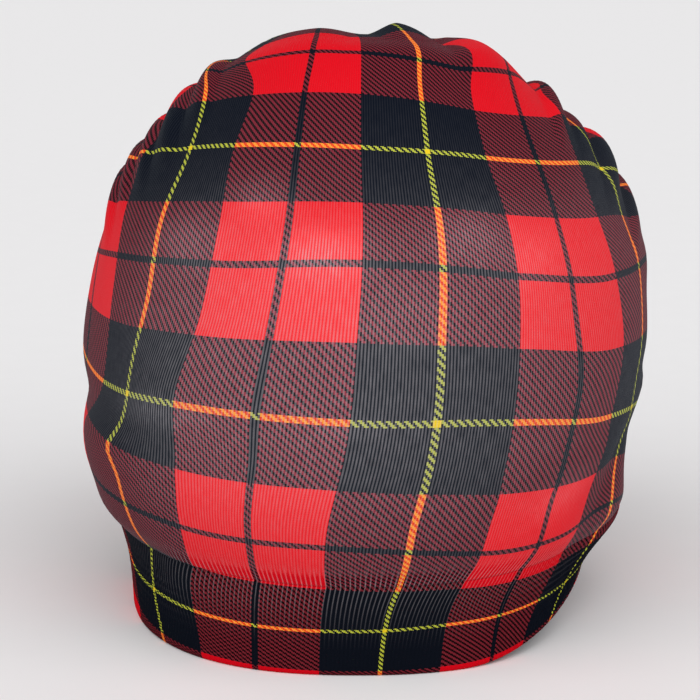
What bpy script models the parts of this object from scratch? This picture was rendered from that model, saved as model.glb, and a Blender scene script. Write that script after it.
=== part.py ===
"""Knitted running beanie: a gathered crown over a narrow ribbed band.

The crown is one seamless knit tube, widest above the ears and drawn shut at the top, where it puckers
into small gathers. Below it a double ribbed band turns in at the hem. The front faces -Y, the wearer's
left is at +X, and the hem stands on z = 0. All lengths are in metres.
"""
import math

import bmesh
import bpy

# Overall sizes. The hat's height is that of the crown's plain form, which its tilted sections and its
# gathers overtop by 5 mm
HAT_HEIGHT = 0.1742
CROWN_WIDTH = 0.1760
CROWN_DEPTH = 0.1880
HEM_WIDTH = 0.1420
HEM_DEPTH = 0.1600
BAND_HEIGHT = 0.0275

# Walls and clearance
CROWN_WALL = 0.0015
BAND_WALL = 0.0026
SEAM_GAP = 0.0003

# The hem lifts off the table at the front right, where the band is pulled up. The lift fades out a little
# above the band
ARCH_HEIGHT = 0.0135
ARCH_ANGLE = 76.0
ARCH_SPREAD = 52.0
ARCH_FADE = 1.3

# Gathers and the pucker that they meet in. They fade out over a spread of crown heights, and inwards
# from a share of the crown's half width
GATHER_HEIGHT = 0.0045
GATHER_ROUNDNESS = 1.6
GATHER_CREASE = 3.0
GATHER_RIM = 0.90
GATHER_FADE_SPREAD = 0.018
GATHER_FULL_AT = 0.32
PUCKER_WIDTH = 0.0150
PUCKER_DEPTH = 0.0022
THREAD_THICKNESS = 0.0012
THREAD_RING_WIDTH = 0.0088

# How finely the shapes are divided
SEGMENTS = 72
CROWN_ROWS = 30
THREAD_SEGMENTS = 20
THREAD_SIDES = 6
# The crown's rows lie closest together over the shoulders
ROW_PLACES = (
    # share of the rows, place between the crown's foot and its pucker
    (0.00, 0.00),
    (0.30, 0.40),
    (0.80, 0.78),
    (1.00, 1.00),
)

# Crown sections from its foot to the rim of the pucker: height as a share of the crown's own height,
# half sizes as shares of half the crown's width and depth, centre shifts as shares of width and depth,
# and tilt, by which a section's front stands higher and its back lower, as a share of that height
CROWN_SECTIONS = (
    # height, half width, half depth, shift back, shift right, tilt
    (0.000, 0.890, 0.890, 0.000, -0.002, 0.000),
    (0.050, 0.940, 0.928, 0.000, -0.008, 0.000),
    (0.140, 0.962, 0.960, 0.002, -0.014, 0.000),
    (0.250, 0.976, 0.985, 0.004, -0.004, 0.000),
    (0.360, 0.992, 1.000, 0.006, 0.000, 0.000),
    (0.470, 0.982, 1.000, 0.008, 0.005, 0.004),
    (0.575, 0.950, 0.985, 0.010, 0.010, 0.010),
    (0.670, 0.888, 0.955, 0.016, 0.011, 0.025),
    (0.755, 0.808, 0.910, 0.030, 0.009, 0.055),
    (0.825, 0.694, 0.830, 0.045, 0.004, 0.090),
    (0.880, 0.572, 0.710, 0.070, -0.004, 0.115),
    (0.925, 0.448, 0.590, 0.090, -0.010, 0.088),
    (0.960, 0.350, 0.470, 0.100, -0.018, 0.056),
    (0.983, 0.275, 0.340, 0.105, -0.022, 0.030),
    (0.993, 0.200, 0.230, 0.110, -0.016, 0.015),
    (0.994, 0.142, 0.150, 0.112, -0.004, 0.005),
    (0.988, 0.105, 0.100, 0.113, -0.004, 0.000),
)

# The pucker inside that rim: depth as a share of its own depth, radius as a share of half its width
PUCKER_SECTIONS = (
    # depth, radius
    (0.00, 1.00),
    (0.45, 0.66),
    (0.85, 0.33),
    (1.00, 0.00),
)

# The band's wall, once round its section: height as a share of the band, flare as a share of the way
# from the hem's size to the crown's foot, inset as a share of the wall
BAND_SECTIONS = (
    # height, flare, inset
    (0.00, 0.00, 0.25),
    (0.04, 0.00, 0.00),
    (0.30, 0.10, 0.00),
    (0.62, 0.38, 0.00),
    (1.00, 0.92, 0.00),
    (1.00, 0.92, 1.00),
    (0.62, 0.38, 1.00),
    (0.30, 0.10, 1.00),
    (0.04, 0.00, 1.00),
    (0.00, 0.00, 0.75),
)
HEM_SQUARENESS = 2.35
HEM_SHIFT_RIGHT = -0.016

# Gathers that run down from the pucker over the rim of the crown at the back: angles in degrees from the
# front towards the wearer's left, height as a share of the gather height, lean in degrees for the whole
# crown height, fade as the share of the crown height where the gather dies out
GATHERS = (
    # angle, half width, height, lean, fade
    (-60, 10, 0.15, 0, 0.940),
    (-38, 9, 0.12, 0, 0.950),
    (-16, 9, 0.12, 0, 0.950),
    (34, 9, 0.20, 0, 0.950),
    (60, 10, 0.20, 0, 0.940),
    (82, 10, 0.35, 0, 0.900),
    (101, 10, 0.70, 10, 0.860),
    (120, 10, 0.80, 10, 0.840),
    (141, 10, 0.65, 10, 0.820),
    (160, 10, 0.80, 0, 0.800),
    (181, 10, 0.70, 0, 0.800),
    (199, 10, 0.80, 0, 0.800),
    (222, 10, 0.65, -10, 0.820),
    (240, 10, 0.80, -10, 0.840),
    (259, 10, 0.60, -10, 0.860),
    (278, 10, 0.30, 0, 0.900),
)

# Pleats that run from the front over the shoulders and the top towards the back: the crest's place to the
# side and its widths towards the middle and outwards, as shares of half the crown's width, its height as
# a share of the gather height, and the share of the crown height where it dies out
PLEATS = (
    # side, inner width, outer width, height, fade
    (0.098, 0.080, 0.148, 1.15, 0.950),
    (0.386, 0.140, 0.180, 1.15, 0.880),
    (0.600, 0.035, 0.062, 0.95, 0.810),
    (0.715, 0.050, 0.038, 0.50, 0.770),
    (0.805, 0.052, 0.062, 0.90, 0.700),
    (0.895, 0.028, 0.080, 0.60, 0.610),
    (-0.150, 0.130, 0.290, 0.50, 0.900),
    (-0.505, 0.050, 0.062, 0.65, 0.830),
    (-0.617, 0.050, 0.060, 0.60, 0.770),
    (-0.711, 0.035, 0.050, 0.50, 0.730),
    (-0.795, 0.032, 0.034, 0.45, 0.680),
    (-0.850, 0.021, 0.054, 0.50, 0.620),
)
# They draw together towards the back, around a place between the middle and the front
PLEAT_SLANT = 0.12
PLEAT_MIDDLE = -0.10

# Dents and bulges in the wall: heights as shares of the hat's height, depth as a share of the crown's
# width, outwards positive
DENTS = (
    # angle, height, half angle, half height, depth
    (-86, 0.470, 14, 0.050, 0.002),
    (-88, 0.400, 12, 0.025, -0.007),
    (-86, 0.320, 14, 0.045, 0.007),
    (-88, 0.235, 12, 0.022, -0.004),
    (-92, 0.760, 12, 0.050, 0.005),
    (88, 0.630, 10, 0.030, 0.006),
    (88, 0.480, 10, 0.035, 0.002),
    (88, 0.440, 10, 0.018, -0.004),
    (88, 0.400, 10, 0.020, 0.006),
    (86, 0.325, 10, 0.022, -0.005),
    (88, 0.118, 17, 0.042, 0.030),
    (90, 0.780, 9, 0.020, -0.008),
)

# Long soft folds: each runs straight over the wall from one place to another
FOLDS = (
    # from angle, from height, to angle, to height, half width, depth
    (72, 0.33, 50, 0.16, 0.033, -0.010),
    (-78, 0.12, -48, 0.15, 0.040, -0.006),
)
FOLD_PLATEAU = 0.35
FOLD_TAPER = 0.15
# Below this share of the crown's height its relief no longer moves the wall up or down
LEVEL_FOOT = 0.30


def turn_between(angle, centre):
    """Signed difference of two angles in degrees, within half a turn."""
    return (angle - centre + 180.0) % 360.0 - 180.0


def bell(distance):
    """Smooth bump of height 1 and half width 1."""
    return math.exp(-0.5 * distance * distance)


def section_at(rows, place):
    """Row of a section table at a place between 0 and 1, joined by a smooth curve."""
    spans = len(rows) - 1
    reach = min(max(place, 0.0), 1.0) * spans
    index = min(int(reach), spans - 1)
    part = reach - index
    here, after = rows[index], rows[index + 1]
    before = rows[index - 1] if index > 0 else here
    beyond = rows[index + 2] if index + 2 <= spans else after
    row = []
    for p0, p1, p2, p3 in zip(before, here, after, beyond):
        bend = 2 * p0 - 5 * p1 + 4 * p2 - p3
        twist = 3 * p1 - p0 - 3 * p2 + p3
        row.append(p1 + 0.5 * part * ((p2 - p0) + part * (bend + part * twist)))
    return row


def row_place(share):
    """Place on the crown of a row, from its share of the rows."""
    for (low, low_place), (high, high_place) in zip(ROW_PLACES, ROW_PLACES[1:]):
        if share <= high:
            break
    return low_place + (high_place - low_place) * (share - low) / (high - low)


def gather_rise(angle, section, x, y):
    """How far the gathers and pleats stand out at a place on the crown's plain form."""
    height, half_width = section[0], section[1]
    folds = []
    for centre, spread, tall, lean, fade in GATHERS:
        away = abs(turn_between(angle, centre + lean * (height - GATHER_RIM))) / spread
        folds.append((away, tall, fade))
    for side, inner, outer, tall, fade in PLEATS:
        crest = abs(side) + PLEAT_SLANT * (PLEAT_MIDDLE - 2 * y / CROWN_DEPTH)
        away = math.copysign(2 * x / CROWN_WIDTH, x * side) - crest
        folds.append((-away / inner if away < 0.0 else away / outer, tall, fade))
    rise = 0.0
    for away, tall, fade in folds:
        if away < 1.0:
            shown = 1.0 / (1.0 + math.exp((fade - height) / GATHER_FADE_SPREAD))
            rise += (tall * shown * (1.0 - away ** GATHER_ROUNDNESS)) ** GATHER_CREASE
    rise **= 1.0 / GATHER_CREASE
    pucker = PUCKER_WIDTH / CROWN_WIDTH
    inside = min(1.0, max(0.0, (half_width - pucker) / (GATHER_FULL_AT - pucker)))
    return GATHER_HEIGHT * rise * inside ** 2


def wall_relief(angle, z):
    """How far dents and long folds move the wall outwards."""
    height = z / HAT_HEIGHT
    relief = 0.0
    for centre, middle, spread, tall, depth in DENTS:
        relief += depth * bell(turn_between(angle, centre) / spread) * bell((height - middle) / tall)
    rise = HAT_HEIGHT / CROWN_WIDTH
    for from_angle, from_height, to_angle, to_height, spread, depth in FOLDS:
        run_x = math.radians(to_angle - from_angle) / 2
        run_z = (to_height - from_height) * rise
        at_x = math.radians(turn_between(angle, from_angle)) / 2
        at_z = (height - from_height) * rise
        length = math.hypot(run_x, run_z)
        along = (at_x * run_x + at_z * run_z) / length ** 2
        across = (at_x * run_z - at_z * run_x) / length
        end = max(0.0, abs(along - 0.5) - FOLD_PLATEAU) / FOLD_TAPER
        relief += depth * bell(across / spread) * bell(end)
    return relief * CROWN_WIDTH


def hem_lift(angle, z):
    """How far the arch at the front right lifts the wall, most at the hem."""
    away = turn_between(angle, ARCH_ANGLE) / ARCH_SPREAD
    if abs(away) >= 1.0:
        return 0.0
    return ARCH_HEIGHT * math.cos(math.pi / 2 * away) ** 2 * max(0.0, 1.0 - z / (ARCH_FADE * BAND_HEIGHT))


def crown_centre(section):
    """Middle of one section of the crown, in plan."""
    return section[4] * CROWN_WIDTH, section[3] * CROWN_DEPTH


def crown_base_point(angle, section):
    """Point of the crown's plain form, without gathers, dents and folds."""
    height, wide, deep, back, right, tilt = section
    turn = math.radians(angle)
    foot = BAND_HEIGHT + SEAM_GAP
    middle_x, middle_y = crown_centre(section)
    x = middle_x + wide * CROWN_WIDTH / 2 * math.sin(turn)
    y = middle_y - deep * CROWN_DEPTH / 2 * math.cos(turn)
    return x, y, foot + (height + tilt * math.cos(turn)) * (HAT_HEIGHT - foot)


def crown_point(angle, place):
    """Point of the crown's outer face: angle in degrees, place 0 at its foot and 1 at the pucker."""
    section = section_at(CROWN_SECTIONS, place)
    step = 0.001
    x, y, z = crown_base_point(angle, section)
    above = crown_base_point(angle, section_at(CROWN_SECTIONS, place + step))
    below = crown_base_point(angle, section_at(CROWN_SECTIONS, place - step))
    turn = math.radians(angle)
    side, front = math.sin(turn), math.cos(turn)
    inward = (below[0] - above[0]) * side - (below[1] - above[1]) * front
    upward = above[2] - below[2]
    length = math.hypot(inward, upward)
    rise = (gather_rise(angle, section, x, y) + wall_relief(angle, z)) / length
    level = rise * upward
    sheer = min(1.0, section[0] / LEVEL_FOOT)
    return x + level * side, y - level * front, z + rise * inward * sheer + hem_lift(angle, z)


def pucker_point(angle, place):
    """Point of the pucker: place 0 at its rim and 1 at its middle."""
    depth, radius = section_at(PUCKER_SECTIONS, place)
    rim = CROWN_SECTIONS[-1]
    foot = BAND_HEIGHT + SEAM_GAP
    turn = math.radians(angle)
    reach = radius * PUCKER_WIDTH / 2
    middle_x, middle_y = crown_centre(rim)
    x = middle_x + reach * math.sin(turn)
    y = middle_y - reach * math.cos(turn)
    lip = foot + rim[0] * (HAT_HEIGHT - foot) - PUCKER_DEPTH / 3
    return x, y, lip - depth * PUCKER_DEPTH


def band_point(angle, row):
    """Point of the band's section, at one row of its table."""
    height, flare, inset = BAND_SECTIONS[row % len(BAND_SECTIONS)]
    foot = CROWN_SECTIONS[0]
    wide = HEM_WIDTH / 2 * (1 - flare) + foot[1] * CROWN_WIDTH / 2 * flare
    deep = HEM_DEPTH / 2 * (1 - flare) + foot[2] * CROWN_DEPTH / 2 * flare
    power = HEM_SQUARENESS * (1 - flare) + 2.0 * flare
    turn = math.radians(angle)
    side, front = math.sin(turn), math.cos(turn)
    corner = (abs(side) ** power + abs(front) ** power) ** (-1 / power)
    z = height * BAND_HEIGHT
    middle_x, middle_y = crown_centre(foot)
    shift = HEM_SHIFT_RIGHT * HEM_WIDTH * (1 - flare) + middle_x * flare
    in_or_out = wall_relief(angle, z) - inset * BAND_WALL
    x = shift + (wide + in_or_out) * side * corner
    y = middle_y * flare - (deep + in_or_out) * front * corner
    return x, y, z + hem_lift(angle, z)


def spun_tube(rows):
    """Open tube of radius 1 whose height counts its rows, spun from one upright line."""
    tube = bmesh.new()
    line = [tube.verts.new((0.0, -1.0, float(row))) for row in range(rows + 1)]
    edges = [tube.edges.new(pair) for pair in zip(line, line[1:])]
    bmesh.ops.spin(tube, geom=line + edges, cent=(0, 0, 0), axis=(0, 0, 1), angle=2 * math.pi,
                   steps=SEGMENTS, use_merge=True, use_duplicate=False)
    bmesh.ops.remove_doubles(tube, verts=tube.verts, dist=0.0001)
    return tube


def shape_tube(tube, place_of):
    """Moves each vertex of a spun tube to its place on the hat and welds what then meets."""
    for vert in tube.verts:
        angle = math.degrees(math.atan2(vert.co.x, -vert.co.y))
        vert.co = place_of(angle, round(vert.co.z))
    bmesh.ops.remove_doubles(tube, verts=tube.verts, dist=0.00001)
    bmesh.ops.recalc_face_normals(tube, faces=tube.faces)


def knit_material(name, colour, roughness):
    """Plain knit finish."""
    material = bpy.data.materials.new(name)
    material.use_nodes = True
    shader = material.node_tree.nodes["Principled BSDF"]
    shader.inputs["Base Color"].default_value = (*colour, 1.0)
    shader.inputs["Roughness"].default_value = roughness
    shader.inputs["Metallic"].default_value = 0.0
    return material


def add_piece(name, mesh_source, material, collection):
    """Makes a named object from a bmesh and puts it in the hat's collection."""
    mesh = bpy.data.meshes.new(name)
    mesh_source.to_mesh(mesh)
    mesh_source.free()
    mesh.shade_smooth()
    mesh.materials.append(material)
    piece = bpy.data.objects.new(name, mesh)
    collection.objects.link(piece)
    return piece


def make_crown(collection):
    """Fine knit shell: foot, wall, gathered rim and pucker in one surface, thickened inwards."""
    pucker_rows = len(PUCKER_SECTIONS) - 1

    def place_of(angle, row):
        if row <= CROWN_ROWS:
            return crown_point(angle, row_place(row / CROWN_ROWS))
        return pucker_point(angle, (row - CROWN_ROWS - 1) / pucker_rows)

    tube = spun_tube(CROWN_ROWS + 1 + pucker_rows)
    shape_tube(tube, place_of)
    crown = add_piece("crown", tube, knit_material("crown_knit", (0.36, 0.06, 0.08), 0.8), collection)
    wall = crown.modifiers.new("wall", "SOLIDIFY")
    wall.thickness = CROWN_WALL
    wall.offset = -1.0
    return crown


def make_rib_band(collection):
    """Double ribbed band: two plies as one wall, turned in at the hem."""
    tube = spun_tube(len(BAND_SECTIONS))
    shape_tube(tube, band_point)
    return add_piece("rib_band", tube, knit_material("band_knit", (0.10, 0.02, 0.03), 0.85), collection)


def make_top_thread(collection):
    """Ring of thread that draws the gathers shut, lying in the pucker."""
    radius = THREAD_RING_WIDTH / 2
    place = 0.5
    while pucker_radius(place) > radius and place < 1.0:
        place += 0.01
    slope = pucker_slope(place)
    surface = pucker_point(0.0, place)[2]
    middle_x, middle_y = crown_centre(CROWN_SECTIONS[-1])
    lift = (THREAD_THICKNESS / 2 + SEAM_GAP) / math.cos(slope)
    bpy.ops.mesh.primitive_torus_add(
        major_segments=THREAD_SEGMENTS, minor_segments=THREAD_SIDES,
        major_radius=pucker_radius(place), minor_radius=THREAD_THICKNESS / 2,
        location=(middle_x, middle_y, surface + lift))
    ring = bpy.context.object
    ring.name = "top_thread"
    ring.data.name = "top_thread"
    ring.data.shade_smooth()
    ring.data.materials.append(knit_material("thread", (0.02, 0.02, 0.03), 0.7))
    for owner in ring.users_collection:
        owner.objects.unlink(ring)
    collection.objects.link(ring)
    return ring


def pucker_radius(place):
    """Radius of the pucker at a place between its rim and its middle."""
    return section_at(PUCKER_SECTIONS, place)[1] * PUCKER_WIDTH / 2


def pucker_slope(place):
    """Slope of the pucker's surface there, as an angle."""
    step = 0.01
    fall = pucker_point(0.0, place - step)[2] - pucker_point(0.0, place + step)[2]
    return math.atan2(fall, pucker_radius(place - step) - pucker_radius(place + step))


def centre_on_floor(pieces):
    """Moves the pieces so that the middle of the hat's box is over the origin."""
    corners = [vert.co for piece in pieces[:2] for vert in piece.data.vertices]
    middle_x = (min(c.x for c in corners) + max(c.x for c in corners)) / 2
    middle_y = (min(c.y for c in corners) + max(c.y for c in corners)) / 2
    for piece in pieces:
        piece.location.x -= middle_x
        piece.location.y -= middle_y


for old in list(bpy.data.objects):
    bpy.data.objects.remove(old, do_unlink=True)
beanie = bpy.data.collections.new("beanie")
bpy.context.scene.collection.children.link(beanie)
centre_on_floor([make_crown(beanie), make_rib_band(beanie), make_top_thread(beanie)])
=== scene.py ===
"""Studio scene of a knitted running beanie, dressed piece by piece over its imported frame."""
import math

import bmesh
import bpy
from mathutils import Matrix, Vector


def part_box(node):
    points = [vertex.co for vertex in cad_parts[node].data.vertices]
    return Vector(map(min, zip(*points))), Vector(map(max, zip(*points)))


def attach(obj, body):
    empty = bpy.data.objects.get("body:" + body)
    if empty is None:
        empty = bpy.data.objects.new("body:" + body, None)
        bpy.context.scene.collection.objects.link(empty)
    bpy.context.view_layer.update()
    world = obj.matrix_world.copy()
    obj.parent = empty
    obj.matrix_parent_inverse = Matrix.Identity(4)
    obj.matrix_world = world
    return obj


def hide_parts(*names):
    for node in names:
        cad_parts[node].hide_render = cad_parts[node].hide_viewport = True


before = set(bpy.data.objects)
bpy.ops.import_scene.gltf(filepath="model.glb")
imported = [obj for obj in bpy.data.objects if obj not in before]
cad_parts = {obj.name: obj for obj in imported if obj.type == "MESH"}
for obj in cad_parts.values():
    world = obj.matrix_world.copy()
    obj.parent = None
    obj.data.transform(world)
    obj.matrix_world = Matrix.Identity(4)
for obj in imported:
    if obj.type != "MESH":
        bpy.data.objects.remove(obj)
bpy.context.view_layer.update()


# Crown
# The hat's one big piece is a seamless tube of fine stretch knit, drawn shut at the top, where it puckers
# into gathers, and pleats run over its shoulders. It is printed on its outer face only, so its inside
# stays pale, and the pale yarn grins between the wales where the head stretches them.

CROWN_WIDTH = 0.1760
CROWN_DEPTH = 0.1880
HAT_HEIGHT = 0.1742
CROWN_WALL = 0.0015
BAND_HEIGHT = 0.0275
SEAM_GAP = 0.0003
MIDDLE_X = 0.0001
MIDDLE_Y = -0.0013
ARCH_HEIGHT = 0.0135
ARCH_ANGLE = 76.0
ARCH_SPREAD = 52.0
ARCH_FADE = 1.3
GATHER_HEIGHT = 0.0045
GATHER_ROUNDNESS = 1.6
GATHER_CREASE = 3.0
GATHER_RIM = 0.90
GATHER_FADE_SPREAD = 0.018
GATHER_FULL_AT = 0.32
PLEAT_SLANT = 0.12
PLEAT_MIDDLE = -0.10
PUCKER_WIDTH = 0.0150
PUCKER_DEPTH = 0.0022
CROWN_SEGMENTS = 320
CROWN_ROWS = 136
PUCKER_ROWS = 6
ROW_PLACES = (
    # share of the rows, place between the crown's foot and its pucker
    (0.00, 0.00),
    (0.30, 0.40),
    (0.80, 0.78),
    (1.00, 1.00),
)
LEVEL_FOOT = 0.30
FOLD_PLATEAU = 0.35
FOLD_TAPER = 0.15

CROWN_SECTIONS = (
    # height, half width, half depth, shift back, shift right, tilt
    (0.000, 0.890, 0.890, 0.000, -0.002, 0.000),
    (0.050, 0.940, 0.928, 0.000, -0.008, 0.000),
    (0.140, 0.962, 0.960, 0.002, -0.014, 0.000),
    (0.250, 0.976, 0.985, 0.004, -0.004, 0.000),
    (0.360, 0.992, 1.000, 0.006, 0.000, 0.000),
    (0.470, 0.982, 1.000, 0.008, 0.005, 0.004),
    (0.575, 0.950, 0.985, 0.010, 0.010, 0.010),
    (0.670, 0.888, 0.955, 0.016, 0.011, 0.025),
    (0.755, 0.808, 0.910, 0.030, 0.009, 0.055),
    (0.825, 0.694, 0.830, 0.045, 0.004, 0.090),
    (0.880, 0.572, 0.710, 0.070, -0.004, 0.115),
    (0.925, 0.448, 0.590, 0.090, -0.010, 0.088),
    (0.960, 0.350, 0.470, 0.100, -0.018, 0.056),
    (0.983, 0.275, 0.340, 0.105, -0.022, 0.030),
    (0.993, 0.200, 0.230, 0.110, -0.016, 0.015),
    (0.994, 0.142, 0.150, 0.112, -0.004, 0.005),
    (0.988, 0.105, 0.100, 0.113, -0.004, 0.000),
)
PUCKER_SECTIONS = (
    # depth, radius
    (0.00, 1.00),
    (0.45, 0.66),
    (0.85, 0.33),
    (1.00, 0.00),
)
GATHERS = (
    # angle, half width, height, lean, fade
    (-60, 10, 0.15, 0, 0.940),
    (-38, 9, 0.12, 0, 0.950),
    (-16, 9, 0.12, 0, 0.950),
    (34, 9, 0.20, 0, 0.950),
    (60, 10, 0.20, 0, 0.940),
    (82, 10, 0.35, 0, 0.900),
    (101, 10, 0.70, 10, 0.860),
    (120, 10, 0.80, 10, 0.840),
    (141, 10, 0.65, 10, 0.820),
    (160, 10, 0.80, 0, 0.800),
    (181, 10, 0.70, 0, 0.800),
    (199, 10, 0.80, 0, 0.800),
    (222, 10, 0.65, -10, 0.820),
    (240, 10, 0.80, -10, 0.840),
    (259, 10, 0.60, -10, 0.860),
    (278, 10, 0.30, 0, 0.900),
)
PLEATS = (
    # side, inner width, outer width, height, fade
    (0.098, 0.080, 0.148, 1.15, 0.950),
    (0.386, 0.140, 0.180, 1.15, 0.880),
    (0.600, 0.035, 0.062, 0.95, 0.810),
    (0.715, 0.050, 0.038, 0.50, 0.770),
    (0.805, 0.052, 0.062, 0.90, 0.700),
    (0.895, 0.028, 0.080, 0.60, 0.610),
    (-0.150, 0.130, 0.290, 0.50, 0.900),
    (-0.505, 0.050, 0.062, 0.65, 0.830),
    (-0.617, 0.050, 0.060, 0.60, 0.770),
    (-0.711, 0.035, 0.050, 0.50, 0.730),
    (-0.795, 0.032, 0.034, 0.45, 0.680),
    (-0.850, 0.021, 0.054, 0.50, 0.620),
)
DENTS = (
    # angle, height, half angle, half height, depth
    (-86, 0.470, 14, 0.050, 0.002),
    (-88, 0.400, 12, 0.025, -0.007),
    (-86, 0.320, 14, 0.045, 0.007),
    (-88, 0.235, 12, 0.022, -0.004),
    (-92, 0.760, 12, 0.050, 0.005),
    (88, 0.630, 10, 0.030, 0.006),
    (88, 0.480, 10, 0.035, 0.002),
    (88, 0.440, 10, 0.018, -0.004),
    (88, 0.400, 10, 0.020, 0.006),
    (86, 0.325, 10, 0.022, -0.005),
    (88, 0.118, 17, 0.042, 0.030),
    (90, 0.780, 9, 0.020, -0.008),
)
FOLDS = (
    # from angle, from height, to angle, to height, half width, depth
    (72, 0.33, 50, 0.16, 0.033, -0.010),
    (-78, 0.12, -48, 0.15, 0.040, -0.006),
)

# The print keeps its count of setts round the hat: sixty degrees each, with a yellow line at 13 degrees.
# Its lines drift in degrees where the knit is pulled, and lie at these lengths up from the hem.
SETT_START = 13.0
HALF_SETT = 30.0
DRIFT_FIRST = -77.0
DRIFT_STEP = 15.0
DRIFT_FADE = 90.0
DRIFT = (
    # length from hem, then the drift at -77, -62, -47, -32, -17, -2, 13, 28, 43, 58 and 73 degrees
    (0, 0, -2, -4, -6, -7, -7, -9.2, -10, -20, -26, -23),
    (20, -10, -7.5, -9, -6.5, -6.5, -6.5, -7.5, -9.5, -10.5, -11, -8),
    (35, -14, -7, -7, -4.5, -5, -5, -4.2, -4.5, -5, -5.5, -3.5),
    (50, -14, -9, -7.5, -4, -4, -3, -1.9, -1, -1.5, -1.5, -1),
    (60, -17, -13.9, -8.5, -4.5, -3.7, -2.2, -1.2, -0.7, -0.8, -2, -6),
    (80, 3, 1.5, -5.5, -5, -2.6, -0.7, -0.2, 0, 0.5, 0.5, -2.5),
    (105, 3, 1.5, -0.5, -1, -1.1, -0.4, -0.2, 0.3, -2, -2.5, -5),
    (130, -8, -3.5, -1.9, -0.4, -0.1, -0.2, 0, -0.3, -3.2, -4, -9),
    (150, -8, -3.5, 0.1, -1, 0.1, -0.5, -0.8, -2.2, -2.5, 1, -4),
    (170, -8, -7, -3.8, -0.6, 0, 0, 0.8, 0.8, 3.5, 10, 18),
    (187, -20, -18, -13.5, -6, 0.5, 1, 3.5, 8, 13, 22, 25),
    (215, -20, -18, -11, -7, -2, 2, 7, 12, 15, 20, 22),
)
LINES_FIRST = -1
LINE_ANGLES = (-120, -90, -60, -30, 0, 30, 60, 90, 120)
LINES = (
    # lengths from the hem, in millimetres, of each half sett's line at those angles
    (-12, 4, -8.1, -10.5, -11.5, -11.8, -5.1, -8, -12),
    (13, 17, 14.5, 12.8, 12.7, 13.4, 7.5, 5, 13),
    (38, 46, 44, 41.2, 40.3, 35, 28, 25, 38),
    (70, 84, 78.5, 78.3, 77.5, 74.1, 58.8, 56, 70),
    (105, 112, 116.3, 118.8, 120.8, 114.5, 100.5, 101, 105),
    (133, 142, 148.6, 152.6, 152.5, 147.5, 134, 122, 133),
    (159, 171, 179, 185.5, 187, 179.8, 168, 158, 159),
    (184, 196, 204, 219, 228, 238, 216, 195, 184),
    (212, 224, 235, 256, 262, 272, 250, 224, 212),
)

# How far the knit is stretched on the head: nothing in the band, most in the middle of the wall. The dip
# just above the band is partly less stretch and partly painted shade, which keeps the low wall deeper in
# colour.
STRETCH_AND_LOW_SHADE = (
    # length from hem in millimetres, stretch
    (8, 0.0),
    (16, 0.2),
    (24, 0.5),
    (34, 0.4),
    (48, 0.6),
    (66, 0.95),
    (105, 1.0),
    (124, 0.75),
    (138, 0.32),
    (160, 0.10),
    (200, 0.0),
)
STRETCH_ROUND = (
    # angle, share of that stretch
    (-100, 0.0),
    (-75, 0.10),
    (-56, 0.35),
    (-40, 0.80),
    (-20, 1.0),
    (10, 0.95),
    (40, 0.60),
    (65, 0.35),
    (95, 0.0),
)
RIB_START = 0.0090
# Painted highlights: soft paler patches where highlights fall on the taut knit, given as more stretch so
# that more pale yarn shows
HIGHLIGHT_PATCHES = (
    # angle, length from hem in millimetres, half angle, half length, more stretch painted as a highlight
    (-10, 122, 5, 4, 1.2),
    (-24, 137, 5, 4, 0.5),
    (19, 127, 5, 5, 0.6),
    (-39, 124, 6, 5, 0.5),
    (31, 119, 5, 5, 0.3),
    (4, 104, 7, 6, 0.3),
    (-42, 75, 8, 3, 0.6),
    (-3, 76, 9, 4, 0.3),
    (44, 45, 6, 4, 0.4),
)


# The band's own form, which the lengths up the crown start from
HEM_WIDTH = 0.1420
HEM_DEPTH = 0.1600
HEM_SQUARENESS = 2.35
HEM_SHIFT_RIGHT = -0.016
BAND_FLARE = (
    # height as a share of the band's, flare as a share of the way from the hem to the crown's foot
    (0.00, 0.00),
    (0.04, 0.00),
    (0.30, 0.10),
    (0.62, 0.38),
    (1.00, 0.98),
    (1.05, 1.00),
)
BAND_STEPS = 12
HEM_START = 0.04


def turn_between(angle, centre):
    """Signed difference of two angles in degrees, within half a turn."""
    return (angle - centre + 180.0) % 360.0 - 180.0


def bell(distance):
    """Smooth bump of height 1 and half width 1."""
    return math.exp(-0.5 * distance * distance)


def section_at(rows, place):
    """Row of a section table at a place between 0 and 1, joined by a smooth curve."""
    spans = len(rows) - 1
    reach = min(max(place, 0.0), 1.0) * spans
    index = min(int(reach), spans - 1)
    part = reach - index
    here, after = rows[index], rows[index + 1]
    before = rows[index - 1] if index > 0 else here
    beyond = rows[index + 2] if index + 2 <= spans else after
    row = []
    for p0, p1, p2, p3 in zip(before, here, after, beyond):
        bend = 2 * p0 - 5 * p1 + 4 * p2 - p3
        twist = 3 * p1 - p0 - 3 * p2 + p3
        row.append(p1 + 0.5 * part * ((p2 - p0) + part * (bend + part * twist)))
    return row


def through(knots, values, at):
    """Smooth curve through uneven knots, flat or straight beyond its ends."""
    last = len(knots) - 1
    if at <= knots[0]:
        slope = (values[1] - values[0]) / (knots[1] - knots[0])
        return values[0] + slope * (at - knots[0])
    if at >= knots[last]:
        slope = (values[last] - values[last - 1]) / (knots[last] - knots[last - 1])
        return values[last] + slope * (at - knots[last])
    index = 0
    while knots[index + 1] <= at:
        index += 1

    def slope_at(i):
        low, high = max(i - 1, 0), min(i + 1, last)
        return (values[high] - values[low]) / (knots[high] - knots[low])

    span = knots[index + 1] - knots[index]
    part = (at - knots[index]) / span
    rise = part * part * (3 - 2 * part)
    lead = part * (1 - part) ** 2 * slope_at(index) - part ** 2 * (1 - part) * slope_at(index + 1)
    return values[index] + (values[index + 1] - values[index]) * rise + span * lead


def table_at(table, at):
    """Smooth curve through a table of two columns, level beyond its ends."""
    knots, values = zip(*table)
    return through(knots, values, min(max(at, knots[0]), knots[-1]))


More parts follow.
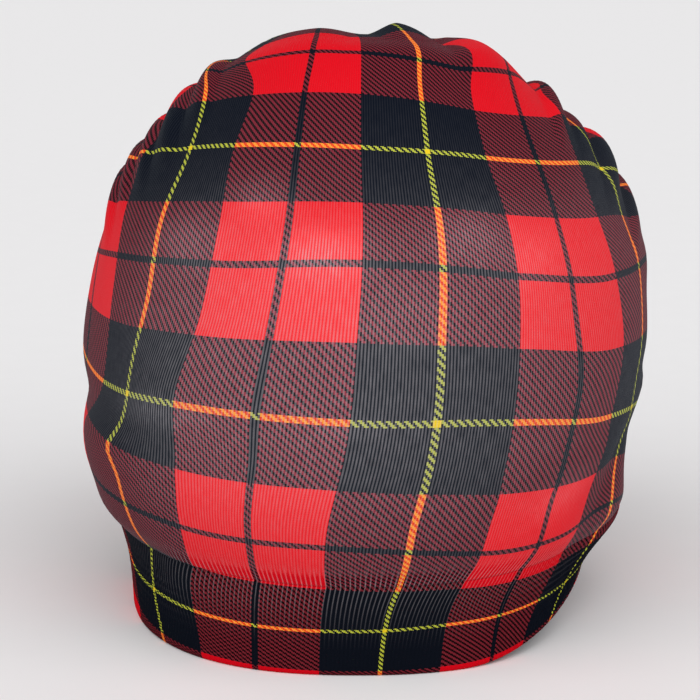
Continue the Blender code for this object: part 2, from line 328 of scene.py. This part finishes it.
def row_place(share):
    """Place on the crown of a row, from its share of the rows."""
    for (low, low_place), (high, high_place) in zip(ROW_PLACES, ROW_PLACES[1:]):
        if share <= high:
            break
    return low_place + (high_place - low_place) * (share - low) / (high - low)


def gather_rise(angle, section, x, y):
    """How far the gathers and pleats stand out at a place on the crown's plain form."""
    height, half_width = section[0], section[1]
    folds = []
    for centre, spread, tall, lean, fade in GATHERS:
        away = abs(turn_between(angle, centre + lean * (height - GATHER_RIM))) / spread
        folds.append((away, tall, fade))
    for side, inner, outer, tall, fade in PLEATS:
        crest = abs(side) + PLEAT_SLANT * (PLEAT_MIDDLE - 2 * y / CROWN_DEPTH)
        away = math.copysign(2 * x / CROWN_WIDTH, x * side) - crest
        folds.append((-away / inner if away < 0.0 else away / outer, tall, fade))
    rise = 0.0
    for away, tall, fade in folds:
        if away < 1.0:
            shown = 1.0 / (1.0 + math.exp((fade - height) / GATHER_FADE_SPREAD))
            rise += (tall * shown * (1.0 - away ** GATHER_ROUNDNESS)) ** GATHER_CREASE
    rise **= 1.0 / GATHER_CREASE
    pucker = PUCKER_WIDTH / CROWN_WIDTH
    inside = min(1.0, max(0.0, (half_width - pucker) / (GATHER_FULL_AT - pucker)))
    return GATHER_HEIGHT * rise * inside ** 2


def wall_relief(angle, z):
    """How far dents and long folds move the wall outwards."""
    height = z / HAT_HEIGHT
    relief = 0.0
    for centre, middle, spread, tall, depth in DENTS:
        relief += depth * bell(turn_between(angle, centre) / spread) * bell((height - middle) / tall)
    rise = HAT_HEIGHT / CROWN_WIDTH
    for from_angle, from_height, to_angle, to_height, spread, depth in FOLDS:
        run_x = math.radians(to_angle - from_angle) / 2
        run_z = (to_height - from_height) * rise
        at_x = math.radians(turn_between(angle, from_angle)) / 2
        at_z = (height - from_height) * rise
        length = math.hypot(run_x, run_z)
        along = (at_x * run_x + at_z * run_z) / length ** 2
        across = (at_x * run_z - at_z * run_x) / length
        end = max(0.0, abs(along - 0.5) - FOLD_PLATEAU) / FOLD_TAPER
        relief += depth * bell(across / spread) * bell(end)
    return relief * CROWN_WIDTH


def hem_lift(angle, z):
    """How far the arch at the front right lifts the wall, most at the hem."""
    away = turn_between(angle, ARCH_ANGLE) / ARCH_SPREAD
    if abs(away) >= 1.0:
        return 0.0
    return ARCH_HEIGHT * math.cos(math.pi / 2 * away) ** 2 * max(0.0, 1.0 - z / (ARCH_FADE * BAND_HEIGHT))


def crown_centre(section):
    """Middle of one section of the crown, in plan."""
    return section[4] * CROWN_WIDTH + MIDDLE_X, section[3] * CROWN_DEPTH + MIDDLE_Y


def crown_base_point(angle, section):
    """Point of the crown's plain form, without gathers, dents and folds."""
    height, wide, deep, back, right, tilt = section
    turn = math.radians(angle)
    foot = BAND_HEIGHT + SEAM_GAP
    middle_x, middle_y = crown_centre(section)
    x = middle_x + wide * CROWN_WIDTH / 2 * math.sin(turn)
    y = middle_y - deep * CROWN_DEPTH / 2 * math.cos(turn)
    return x, y, foot + (height + tilt * math.cos(turn)) * (HAT_HEIGHT - foot)


def crown_point(angle, place):
    """Point of the crown's outer face: angle in degrees, place 0 at its foot and 1 at the pucker."""
    section = section_at(CROWN_SECTIONS, place)
    step = 0.001
    x, y, z = crown_base_point(angle, section)
    above = crown_base_point(angle, section_at(CROWN_SECTIONS, place + step))
    below = crown_base_point(angle, section_at(CROWN_SECTIONS, place - step))
    turn = math.radians(angle)
    side, front = math.sin(turn), math.cos(turn)
    inward = (below[0] - above[0]) * side - (below[1] - above[1]) * front
    upward = above[2] - below[2]
    length = math.hypot(inward, upward)
    rise = (gather_rise(angle, section, x - MIDDLE_X, y - MIDDLE_Y) + wall_relief(angle, z)) / length
    level = rise * upward
    sheer = min(1.0, section[0] / LEVEL_FOOT)
    return x + level * side, y - level * front, z + rise * inward * sheer + hem_lift(angle, z)


def pucker_point(angle, place):
    """Point of the pucker: place 0 at its rim and 1 at its middle."""
    depth, radius = section_at(PUCKER_SECTIONS, place)
    rim = CROWN_SECTIONS[-1]
    foot = BAND_HEIGHT + SEAM_GAP
    turn = math.radians(angle)
    reach = radius * PUCKER_WIDTH / 2
    middle_x, middle_y = crown_centre(rim)
    lip = foot + rim[0] * (HAT_HEIGHT - foot) - PUCKER_DEPTH / 3
    return middle_x + reach * math.sin(turn), middle_y - reach * math.cos(turn), lip - depth * PUCKER_DEPTH


def drift_across(angle, drifts):
    """Drift of the print at an angle: the table's in front, fading towards the back."""
    knots = [DRIFT_FIRST + DRIFT_STEP * index for index in range(len(drifts))]
    near = min(max(angle, knots[0]), knots[-1])
    away = min(1.0, abs(angle - near) / DRIFT_FADE)
    return through(knots, drifts, near) * (1 + math.cos(math.pi * away)) / 2


def print_up(angle):
    """Lengths from the hem of the print's lines at an angle, and its drifts at the table's lengths."""
    near = min(max(angle, LINE_ANGLES[0]), LINE_ANGLES[-1])
    lines = [through(LINE_ANGLES, line, near) for line in LINES]
    return lines, [(row[0], drift_across(angle, row[1:])) for row in DRIFT]


def print_place(angle, lines, drifts, length):
    """Where the print is at an angle and a length from the hem: half setts round, and half setts up."""
    millimetres = length * 1000
    up = LINES_FIRST + through(lines, range(len(lines)), millimetres)
    return (angle - SETT_START - table_at(drifts, millimetres)) / HALF_SETT, up


def stretch_and_painted_light_at(angle, length):
    """How far the knit is stretched at an angle and a length from the hem: 1 is taut; with painted
    highlights and shade.
    """
    millimetres = length * 1000
    pull_and_painted_light = max(0.0, table_at(STRETCH_AND_LOW_SHADE, millimetres)) * max(0.0, table_at(STRETCH_ROUND, angle))
    for centre, middle, spread, tall, painted_highlight in HIGHLIGHT_PATCHES:
        pull_and_painted_light += painted_highlight * bell(turn_between(angle, centre) / spread) * bell((millimetres - middle) / tall)
    return pull_and_painted_light


def band_outer(angle, height):
    """Point of the band's outer face, at a share of the band's height."""
    flare = table_at(BAND_FLARE, height)
    foot = CROWN_SECTIONS[0]
    wide = HEM_WIDTH / 2 * (1 - flare) + foot[1] * CROWN_WIDTH / 2 * flare
    deep = HEM_DEPTH / 2 * (1 - flare) + foot[2] * CROWN_DEPTH / 2 * flare
    power = HEM_SQUARENESS * (1 - flare) + 2.0 * flare
    turn = math.radians(angle)
    side, front = math.sin(turn), math.cos(turn)
    corner = (abs(side) ** power + abs(front) ** power) ** (-1 / power)
    z = height * BAND_HEIGHT
    foot_x, foot_y = crown_centre(foot)
    shift_x = (HEM_SHIFT_RIGHT * HEM_WIDTH + MIDDLE_X) * (1 - flare) + foot_x * flare
    shift_y = MIDDLE_Y * (1 - flare) + foot_y * flare
    relief = wall_relief(angle, z)
    x = shift_x + (wide + relief) * side * corner
    y = shift_y - (deep + relief) * front * corner
    return x, y, z + hem_lift(angle, z)


def band_length(angle):
    """Length up the band's outer face, from the hem to the crown's foot."""
    heights = [HEM_START + (1 - HEM_START) * step / BAND_STEPS for step in range(BAND_STEPS + 1)]
    points = [band_outer(angle, height) for height in heights]
    return sum(math.dist(low, high) for low, high in zip(points, points[1:]))


def spun_tube(rows, segments):
    """Open tube of radius 1 whose height counts its rows, spun from one upright line."""
    tube = bmesh.new()
    line = [tube.verts.new((0.0, -1.0, float(row))) for row in range(rows + 1)]
    edges = [tube.edges.new(pair) for pair in zip(line, line[1:])]
    bmesh.ops.spin(tube, geom=line + edges, cent=(0, 0, 0), axis=(0, 0, 1), angle=2 * math.pi,
                   steps=segments, use_merge=True, use_duplicate=False)
    bmesh.ops.remove_doubles(tube, verts=tube.verts, dist=0.0001)
    return tube


def dress_tube(tube, segments, column_of):
    """Moves a spun tube's vertices to their places and gives them the print's place and the stretch, with
    its painted highlights and shade.

    column_of takes an angle and gives, for each row, the point, the print's place, the stretch with its
    painted light and how far the knit is ribbed.
    """
    knit = tube.loops.layers.uv.new("knit")
    stretch_and_painted_light = tube.verts.layers.float.new("stretch_and_painted_light")
    ribbing = tube.verts.layers.float.new("ribbing")
    columns = {}
    places = {}
    for vert in tube.verts:
        turn = math.degrees(math.atan2(vert.co.x, -vert.co.y))
        index = round(turn / 360.0 * segments) % segments
        if index not in columns:
            columns[index] = column_of(turn_between(index * 360.0 / segments, 0.0))
        point, place, pull_and_painted_light, ribbed = columns[index][round(vert.co.z)]
        places[vert] = (turn_between(index * 360.0 / segments, 0.0), place, point)
        vert[stretch_and_painted_light] = pull_and_painted_light
        vert[ribbing] = ribbed
    whole_turn = 360.0 / HALF_SETT
    for face in tube.faces:
        on_left = face.calc_center_median().x < 0.0
        for loop in face.loops:
            angle, place, _ = places[loop.vert]
            around = place[0]
            if angle <= -179.99 and not on_left:
                around += whole_turn
            loop[knit].uv = (around, place[1])
    for vert, (_, _, point) in places.items():
        vert.co = point
    bmesh.ops.remove_doubles(tube, verts=tube.verts, dist=0.00001)
    bmesh.ops.recalc_face_normals(tube, faces=tube.faces)


def piece_from(name, source, materials):
    """Makes a named object from a bmesh, shaded smooth, with its materials."""
    mesh = bpy.data.meshes.new(name)
    source.to_mesh(mesh)
    source.free()
    mesh.shade_smooth()
    for material in materials:
        mesh.materials.append(material)
    piece = bpy.data.objects.new(name, mesh)
    bpy.context.scene.collection.objects.link(piece)
    return piece


def crown_column(angle):
    """Points, print places and stretch, with its painted light, up one wale of the crown, from its foot into
    the pucker.
    """
    points = [crown_point(angle, row_place(row / CROWN_ROWS)) for row in range(CROWN_ROWS + 1)]
    points += [pucker_point(angle, row / PUCKER_ROWS) for row in range(PUCKER_ROWS + 1)]
    length = foot = band_length(angle)
    lines, drifts = print_up(angle)
    column = []
    for index, point in enumerate(points):
        if index:
            length += math.dist(points[index - 1], point)
        ribbed = min(1.0, max(0.0, 1.0 - (length - foot) / RIB_START))
        place = print_place(angle, lines, drifts, length)
        column.append((point, place, stretch_and_painted_light_at(angle, length), ribbed))
    return column


def dye(red, green, blue):
    """Linear colour of a shade given as it looks, with each share from 0 to 255."""
    return tuple(((share / 255 + 0.055) / 1.055) ** 2.4 for share in (red, green, blue)) + (1.0,)


class Sheet:
    """A node tree that is being drawn: adds nodes and joins them in one call each."""

    def __init__(self, tree):
        self.tree = tree

    def add(self, kind, settings=None, **inputs):
        node = self.tree.nodes.new(kind)
        for name, value in (settings or {}).items():
            setattr(node, name, value)
        for name, value in inputs.items():
            self.feed(node, int(name[1:]) if name[1:].isdigit() else name.replace("_", " "), value)
        return node

    def feed(self, node, name, value):
        socket = node.inputs[name]
        if isinstance(value, bpy.types.NodeSocket):
            self.tree.links.new(value, socket)
        else:
            socket.default_value = value

    def sum(self, operation, first, second=0.0, third=0.0):
        node = self.add("ShaderNodeMath", {"operation": operation}, i0=first, i1=second, i2=third)
        return node.outputs[0]

    def blend(self, share, first, second):
        node = self.add("ShaderNodeMix", {"data_type": "RGBA"}, i0=share, i6=first, i7=second)
        return node.outputs[2]


def new_group(name, takes, gives):
    """Empty shader node group with named inputs and outputs, and the sheet to draw it on."""
    group = bpy.data.node_groups.new(name, "ShaderNodeTree")
    for label, kind, value in takes:
        socket = group.interface.new_socket(label, in_out="INPUT", socket_type="NodeSocket" + kind)
        if value is not None:
            socket.default_value = value
    for label, kind in gives:
        group.interface.new_socket(label, in_out="OUTPUT", socket_type="NodeSocket" + kind)
    sheet = Sheet(group)
    start = group.nodes.new("NodeGroupInput")
    end = group.nodes.new("NodeGroupOutput")
    return group, sheet, start.outputs, end


# Threads of half a sett, out from the yellow line: yellow, black, red and a thin black line. Where the
# knit is taut, the yellow line spreads by a part of a thread.
HALF_SETT_THREADS = 76.0
LINE_THREADS = 1.45
LINE_SPREAD = 0.45
RED_FROM = 38.0
RED_TO = 74.0
TWILL_THREADS = 4.0


def make_tartan():
    """Group that gives the colour of the printed tartan at a place of the print.

    The print imitates a twill: where two yarns of different colours cross, dashes of one lie over the other.
    """
    group, sheet, takes, gives = new_group(
        "tartan_print",
        (("Place", "Vector", None), ("Line", "Float", LINE_THREADS),
         ("Red", "Color", dye(220, 6, 26)), ("Black", "Color", dye(7, 14, 27)),
         ("Wine", "Color", dye(122, 34, 48)), ("Dark Wine", "Color", dye(14, 4, 8)),
         ("Lime", "Color", dye(186, 192, 62)), ("Orange", "Color", dye(255, 158, 56)),
         ("Ember", "Color", dye(230, 66, 28)), ("Yellow", "Color", dye(238, 204, 30))),
        (("Colour", "Color"),))
    parts = sheet.add("ShaderNodeSeparateXYZ", i0=takes["Place"]).outputs

    def yarn(along):
        thread = sheet.sum("MULTIPLY", sheet.sum("PINGPONG", along, 1.0), HALF_SETT_THREADS)
        yellow = sheet.sum("LESS_THAN", thread, takes["Line"])
        red = sheet.sum("COMPARE", thread, (RED_FROM + RED_TO) / 2, (RED_TO - RED_FROM) / 2)
        count = sheet.sum("FLOOR", sheet.sum("MULTIPLY", along, HALF_SETT_THREADS))
        return yellow, red, count

    round_yellow, round_red, round_count = yarn(parts[0])
    up_yellow, up_red, up_count = yarn(parts[1])
    step = sheet.sum("FRACT", sheet.sum("DIVIDE", sheet.sum("ADD", round_count, up_count), TWILL_THREADS))
    over = sheet.sum("LESS_THAN", step, 0.5)
    under = sheet.sum("SUBTRACT", 1.0, over)

    def on_top(first, second):
        return sheet.sum("MULTIPLY_ADD", over, first, sheet.sum("MULTIPLY", under, second))

    mixed = sheet.blend(on_top(round_red, up_red), takes["Dark Wine"], takes["Wine"])
    ground = sheet.blend(sheet.sum("MAXIMUM", round_red, up_red), takes["Black"], mixed)
    ground = sheet.blend(sheet.sum("MULTIPLY", round_red, up_red), ground, takes["Red"])
    dash = on_top(round_yellow, up_yellow)
    on_black = sheet.blend(dash, takes["Black"], takes["Lime"])
    on_red = sheet.blend(dash, takes["Ember"], takes["Orange"])
    line = sheet.blend(sheet.sum("MAXIMUM", round_red, up_red), on_black, on_red)
    line = sheet.blend(sheet.sum("MULTIPLY", round_yellow, up_yellow), line, takes["Yellow"])
    sheet.feed(gives, "Colour", sheet.blend(sheet.sum("MAXIMUM", round_yellow, up_yellow), ground, line))
    return group


# Wales and courses in half a sett, and how unevenly the gaps between the wales show
CROWN_WALES = 49.0
CROWN_COURSES = 50.0
STITCH_HEIGHT = 0.22
PATCH_COURSES = 9.0
GAP_SPREAD = 1.1
GAP_START = 0.4


def make_wales():
    """Group that gives the ridges of the knit and the gaps between them, from the print's place."""
    group, sheet, takes, gives = new_group(
        "knit_wales",
        (("Place", "Vector", None), ("Wales", "Float", CROWN_WALES),
         ("Courses", "Float", CROWN_COURSES), ("Gap Width", "Float", 0.5)),
        (("Gap", "Float"), ("Height", "Float")))
    parts = sheet.add("ShaderNodeSeparateXYZ", i0=takes["Place"]).outputs
    wale = sheet.sum("MULTIPLY", parts[0], takes["Wales"])
    across = sheet.sum("ABSOLUTE", sheet.sum("SUBTRACT", sheet.sum("FRACT", wale), 0.5))
    ridge = sheet.sum("COSINE", sheet.sum("MULTIPLY", across, math.pi))
    course = sheet.sum("ADD", sheet.sum("MULTIPLY", parts[1], takes["Courses"]), across)
    stitch = sheet.sum("COSINE", sheet.sum("MULTIPLY", course, 2 * math.pi))
    height = sheet.sum("MULTIPLY_ADD", sheet.sum("MULTIPLY", stitch, ridge), STITCH_HEIGHT, ridge)
    steps = sheet.add("ShaderNodeCombineXYZ", i0=sheet.sum("FLOOR", wale),
                      i1=sheet.sum("MULTIPLY", parts[1], PATCH_COURSES))
    uneven = sheet.add("ShaderNodeTexNoise", {"noise_dimensions": "2D"}, Vector=steps.outputs[0],
                       Scale=1.0, Detail=1.0)
    gap = sheet.add("ShaderNodeMapRange", {"interpolation_type": "SMOOTHSTEP"}, i0=across,
                    i1=sheet.sum("SUBTRACT", 0.5, takes["Gap Width"]), i2=0.5, i3=0.0, i4=1.0)
    strength = sheet.sum("MULTIPLY_ADD", uneven.outputs[0], GAP_SPREAD, GAP_START)
    sheet.feed(gives, "Gap", sheet.sum("MULTIPLY", gap.outputs[0], strength))
    sheet.feed(gives, "Height", height)
    return group


SHEEN_TINT = (0.75, 0.88, 1.0, 1.0)
SHEEN_ROUGHNESS = 0.3


def new_material(name, roughness, gloss, sheen):
    """Material with a cloth-like Principled shader, and the sheet to draw it on."""
    material = bpy.data.materials.new(name)
    material.use_nodes = True
    shader = material.node_tree.nodes["Principled BSDF"]
    shader.inputs["Roughness"].default_value = roughness
    shader.inputs["Specular IOR Level"].default_value = gloss
    shader.inputs["Sheen Weight"].default_value = sheen
    shader.inputs["Sheen Roughness"].default_value = SHEEN_ROUGHNESS
    shader.inputs["Sheen Tint"].default_value = SHEEN_TINT
    return material, Sheet(material.node_tree), shader


tartan_print = make_tartan()
knit_wales = make_wales()
# The crown's first courses are ribbed like the band: a comb of rib tops, where the print stays deep and
# the pale yarn shows in the grooves only
PALE_YARN = dye(222, 216, 222)
WALE_GRIN = 0.20
RIBS = 30.0
RIB_GAP = 0.22
RIB_GRIN = 0.30
COMB_HEIGHT = 0.55
COMB_REACH = 1.6
COMB_START = -1.1
COMB_EDGE = 0.25
WALE_BUMP = 0.35
WALE_BUMP_DISTANCE = 0.0003


def make_crown_print():
    """Printed face of the crown: tartan on fine wales, with pale yarn grinning where it is stretched, and
    painted highlights and shade.
    """
    material, sheet, shader = new_material("crown_print", 0.62, 0.02, 0.06)
    place = sheet.add("ShaderNodeUVMap", {"uv_map": "knit"}).outputs[0]
    # The stretch attribute holds painted light too: the paler, looser colours in the highlight patches are
    # painted highlights, and the deeper colour low on the wall is partly painted shade.
    pull_and_painted_light = sheet.add("ShaderNodeAttribute", {"attribute_name": "stretch_and_painted_light"}).outputs["Fac"]
    ribbing = sheet.add("ShaderNodeAttribute", {"attribute_name": "ribbing"}).outputs["Fac"]
    ribs = sheet.add("ShaderNodeGroup", {"node_tree": knit_wales}, Place=place, Wales=RIBS,
                     Gap_Width=RIB_GAP)
    wales = sheet.add("ShaderNodeGroup", {"node_tree": knit_wales}, Place=place)
    reach = sheet.sum("MULTIPLY_ADD", ribbing, COMB_REACH, COMB_START)
    comb = sheet.sum("MULTIPLY_ADD", ribs.outputs["Height"], COMB_HEIGHT, reach)
    teeth = sheet.add("ShaderNodeMapRange", i0=comb, i1=0.0, i2=COMB_EDGE, i3=1.0, i4=0.0)
    pull_and_painted_light = sheet.sum("MULTIPLY", pull_and_painted_light, teeth.outputs[0])
    line = sheet.sum("MULTIPLY_ADD", sheet.sum("MINIMUM", pull_and_painted_light, 1.0), LINE_SPREAD, LINE_THREADS)
    tight = sheet.add("ShaderNodeGroup", {"node_tree": tartan_print}, Place=place, Line=line)
    loose = sheet.add("ShaderNodeGroup", {"node_tree": tartan_print}, Place=place, Line=line,
                      Red=dye(246, 46, 52), Black=dye(14, 24, 34), Wine=dye(148, 56, 70),
                      Dark_Wine=dye(24, 14, 20), Lime=dye(180, 184, 84))
    shade = sheet.blend(pull_and_painted_light, tight.outputs["Colour"], loose.outputs["Colour"])
    grin = sheet.sum("MULTIPLY", sheet.sum("MULTIPLY", wales.outputs["Gap"], WALE_GRIN), pull_and_painted_light)
    seen = sheet.sum("MULTIPLY", sheet.sum("MULTIPLY", ribs.outputs["Gap"], RIB_GRIN), ribbing)
    colour = sheet.blend(sheet.sum("MAXIMUM", grin, seen), shade, PALE_YARN)
    sheet.feed(shader, "Base Color", colour)
    bump = sheet.add("ShaderNodeBump", Strength=WALE_BUMP, Distance=WALE_BUMP_DISTANCE,
                     Height=wales.outputs["Height"])
    sheet.feed(shader, "Normal", bump.outputs[0])
    return material


def make_inside_knit():
    """Back of the knit, which the print doesn't reach: pale yarn in fine wales, with painted shade in the
    gaps between them.
    """
    material, sheet, shader = new_material("inside_knit", 0.85, 0.15, 0.1)
    place = sheet.add("ShaderNodeUVMap", {"uv_map": "knit"}).outputs[0]
    wales = sheet.add("ShaderNodeGroup", {"node_tree": knit_wales}, Place=place)
    # The gaps between the wales take a darker pale: painted shade in the grooves.
    colour = sheet.blend(wales.outputs["Gap"], dye(196, 190, 194), dye(150, 140, 146))
    sheet.feed(shader, "Base Color", colour)
    bump = sheet.add("ShaderNodeBump", Strength=0.5, Distance=0.0004, Height=wales.outputs["Height"])
    sheet.feed(shader, "Normal", bump.outputs[0])
    return material


inside_knit = make_inside_knit()
crown_tube = spun_tube(CROWN_ROWS + 1 + PUCKER_ROWS, CROWN_SEGMENTS)
dress_tube(crown_tube, CROWN_SEGMENTS, crown_column)
crown = piece_from("knit_crown", crown_tube, (make_crown_print(), inside_knit))
crown_wall = crown.modifiers.new("wall", "SOLIDIFY")
crown_wall.thickness = CROWN_WALL
crown_wall.offset = -1.0
crown_wall.material_offset = 1
crown_wall.material_offset_rim = 1
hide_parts("crown")
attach(crown, "root")


# Ribbed band
# The band is knitted on to the crown in the same tube, in ribs, and turned in at the hem, so that it is
# double. The print runs on over it, and thin lines of pale yarn show between the ribs.

BAND_WALL = 0.0026
BAND_SEGMENTS = 1440
RIB_DEPTH = 0.00035
BAND_COURSES = 34.0
BAND_PROFILE = (
    # height as a share of the band's, inset as a share of the wall, rib as a share of its depth
    (1.045, 1.00, 0.2),
    (0.90, 1.00, 0.5),
    (0.70, 1.00, 0.6),
    (0.50, 1.00, 0.6),
    (0.30, 1.00, 0.6),
    (0.14, 1.00, 0.5),
    (0.06, 0.97, 0.4),
    (0.015, 0.82, 0.3),
    (0.000, 0.62, 0.3),
    (0.000, 0.38, 0.4),
    (0.018, 0.14, 0.6),
    (0.060, 0.00, 0.8),
    (0.12, 0.00, 1.0),
    (0.20, 0.00, 1.0),
    (0.29, 0.00, 1.0),
    (0.38, 0.00, 1.0),
    (0.47, 0.00, 1.0),
    (0.56, 0.00, 1.0),
    (0.65, 0.00, 1.0),
    (0.74, 0.00, 1.0),
    (0.82, 0.00, 1.0),
    (0.89, 0.00, 1.0),
    (0.95, 0.00, 0.9),
    (1.00, 0.04, 0.6),
    (1.045, 0.30, 0.2),
)
OUTER_FROM = 11


def band_column(angle):
    """Points, print places and stretch round the band's section, from its top inside to its top outside."""
    outer = [band_outer(angle, row[0]) for row in BAND_PROFILE]
    lengths = [0.0] * len(outer)
    lengths[OUTER_FROM] = math.dist(band_outer(angle, HEM_START), outer[OUTER_FROM])
    for index in range(OUTER_FROM + 1, len(outer)):
        lengths[index] = lengths[index - 1] + math.dist(outer[index - 1], outer[index])
    for index in range(OUTER_FROM - 1, -1, -1):
        lengths[index] = lengths[index + 1] - math.dist(outer[index + 1], outer[index]) - BAND_WALL / 8
    middle_x, middle_y = crown_centre(CROWN_SECTIONS[0])
    lines, drifts = print_up(angle)
    column = []
    for (_, inset, rib), (x, y, z), length in zip(BAND_PROFILE, outer, lengths):
        around, _ = print_place(angle, lines, drifts, max(0.0, length))
        _, up = print_place(angle, lines, drifts, length)
        groove = rib * RIB_DEPTH * (1 - math.cos(2 * math.pi * RIBS * around)) / 2
        reach = math.hypot(x - middle_x, y - middle_y)
        share = 1 - (inset * BAND_WALL + (groove if inset < 0.5 else -groove)) / reach
        point = (middle_x + (x - middle_x) * share, middle_y + (y - middle_y) * share, z)
        column.append((point, (around, up), stretch_and_painted_light_at(angle, length), 1.0))
    return column


def make_band_print():
    """Printed face of the ribs: deeper shades than the crown, with thin pale lines in the upper grooves."""
    material, sheet, shader = new_material("band_print", 0.65, 0.02, 0.0)
    place = sheet.add("ShaderNodeUVMap", {"uv_map": "knit"}).outputs[0]
    pull_and_painted_light = sheet.add("ShaderNodeAttribute", {"attribute_name": "stretch_and_painted_light"}).outputs["Fac"]
    tartan = sheet.add("ShaderNodeGroup", {"node_tree": tartan_print}, Place=place, Red=dye(214, 8, 26),
                       Black=dye(12, 16, 25), Wine=dye(118, 34, 44))
    wales = sheet.add("ShaderNodeGroup", {"node_tree": knit_wales}, Place=place, Wales=RIBS,
                      Courses=BAND_COURSES, Gap_Width=RIB_GAP)
    share = sheet.sum("MULTIPLY", sheet.sum("MULTIPLY", wales.outputs["Gap"], RIB_GRIN), pull_and_painted_light)
    colour = sheet.blend(share, tartan.outputs["Colour"], PALE_YARN)
    sheet.feed(shader, "Base Color", colour)
    bump = sheet.add("ShaderNodeBump", Strength=0.4, Distance=0.0003, Height=wales.outputs["Height"])
    sheet.feed(shader, "Normal", bump.outputs[0])
    return material


band_tube = spun_tube(len(BAND_PROFILE) - 1, BAND_SEGMENTS)
dress_tube(band_tube, BAND_SEGMENTS, band_column)
band = piece_from("ribbed_band", band_tube, (make_band_print(),))
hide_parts("rib_band")
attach(band, "root")


# Top thread
# The last round of stitches is drawn up on a doubled dark thread, which lies in the pucker as a small
# wavy ring, over and under the gathers.

THREAD_SEGMENTS = 192
THREAD_SIDES = 8
THREAD_THICKNESS = 0.0011
THREAD_WAVES = 12
THREAD_WAVE_HEIGHT = 0.00035
THREAD_TWISTS = 48
THREAD_TWIST_DEPTH = 0.16


def make_thread_material():
    """Dark sewing thread, a little glossy, with its twist drawn in light and shade."""
    material, sheet, shader = new_material("dark_thread", 0.5, 0.3, 0.1)
    place = sheet.add("ShaderNodeTexCoord").outputs["Object"]
    grain = sheet.add("ShaderNodeTexNoise", Vector=place, Scale=2600.0, Detail=2.0)
    sheet.feed(shader, "Base Color", sheet.blend(grain.outputs[0], dye(18, 18, 24), dye(58, 56, 66)))
    bump = sheet.add("ShaderNodeBump", Strength=0.5, Distance=0.0001, Height=grain.outputs[0])
    sheet.feed(shader, "Normal", bump.outputs[0])
    return material


def make_thread():
    """Ring of twisted thread, spun from a small circle and then waved."""
    low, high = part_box("top_thread")
    centre = (low + high) / 2
    radius = (high.x - low.x) / 2 - THREAD_THICKNESS / 2
    ring = bmesh.new()
    circle = bmesh.ops.create_circle(ring, segments=THREAD_SIDES, radius=THREAD_THICKNESS / 2)
    for vert in circle["verts"]:
        vert.co = (0.0, vert.co.x - radius, vert.co.y)
    bmesh.ops.spin(ring, geom=ring.verts[:] + ring.edges[:], cent=(0, 0, 0), axis=(0, 0, 1),
                   angle=2 * math.pi, steps=THREAD_SEGMENTS, use_merge=True, use_duplicate=False)
    bmesh.ops.remove_doubles(ring, verts=ring.verts, dist=0.000001)
    for vert in ring.verts:
        turn = math.atan2(vert.co.x, -vert.co.y)
        out = math.hypot(vert.co.x, vert.co.y) - radius
        round_it = math.atan2(vert.co.z, out)
        swell = 1 + THREAD_TWIST_DEPTH * math.cos(2 * round_it + THREAD_TWISTS * turn)
        reach = radius + out * swell
        wave = THREAD_WAVE_HEIGHT * math.sin(THREAD_WAVES * turn)
        vert.co = (centre.x + reach * math.sin(turn), centre.y - reach * math.cos(turn),
                   centre.z + vert.co.z * swell + wave)
    bmesh.ops.recalc_face_normals(ring, faces=ring.faces)
    return ring


thread = piece_from("gathering_thread", make_thread(), (make_thread_material(),))
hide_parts("top_thread")
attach(thread, "root")


# Floor and studio
# A wide pale floor fills the frame behind the hat, under two broad soft lights from above, in front on the
# left and on the right, and an even pale surround.

FLOOR_SIZE = 40.0
SURROUND_POWER = 0.4


def make_floor():
    """Flat pale floor."""
    sheet_of_floor = bmesh.new()
    bmesh.ops.create_grid(sheet_of_floor, x_segments=1, y_segments=1, size=FLOOR_SIZE / 2)
    material, sheet, shader = new_material("floor_paper", 0.9, 0.1, 0.0)
    place = sheet.add("ShaderNodeTexCoord").outputs["Object"]
    grain = sheet.add("ShaderNodeTexNoise", Vector=place, Scale=60.0, Detail=2.0)
    sheet.feed(shader, "Base Color", sheet.blend(grain.outputs[0], dye(236, 235, 236), dye(238, 237, 238)))
    return piece_from("studio_floor", sheet_of_floor, (material,))


floor = make_floor()

LIGHTS = (
    # name, turn from straight in front, rise, power, width
    ("left_light", -42.0, 45.0, 1.20, 60.0),
    ("right_light", 42.0, 45.0, 1.36, 60.0),
)
for light_name, turn, rise, power, width in LIGHTS:
    light = bpy.data.lights.new(light_name, "SUN")
    light.energy = power
    light.angle = math.radians(width)
    holder = bpy.data.objects.new(light_name, light)
    holder.rotation_euler = (math.radians(90.0 - rise), 0.0, math.radians(turn))
    bpy.context.scene.collection.objects.link(holder)

world = bpy.data.worlds.new("studio")
world.use_nodes = True
world.node_tree.nodes["Background"].inputs["Color"].default_value = (1.0, 1.0, 1.0, 1.0)
world.node_tree.nodes["Background"].inputs["Strength"].default_value = SURROUND_POWER
bpy.context.scene.world = world

# Camera: in front of the hat, a little above it and looking down
CAMERA_PLACE = (-0.0044, -0.6013, 0.2080)
CAMERA_DIP = 12.3
CAMERA_LENS = 100.4
camera_data = bpy.data.cameras.new("camera")
camera_data.lens = CAMERA_LENS
camera_data.sensor_width = 36.0
camera = bpy.data.objects.new("camera", camera_data)
camera.location = CAMERA_PLACE
camera.rotation_euler = (math.radians(90.0 - CAMERA_DIP), 0.0, 0.0)
bpy.context.scene.collection.objects.link(camera)
bpy.context.scene.camera = camera
bpy.context.scene.view_settings.view_transform = "Standard"
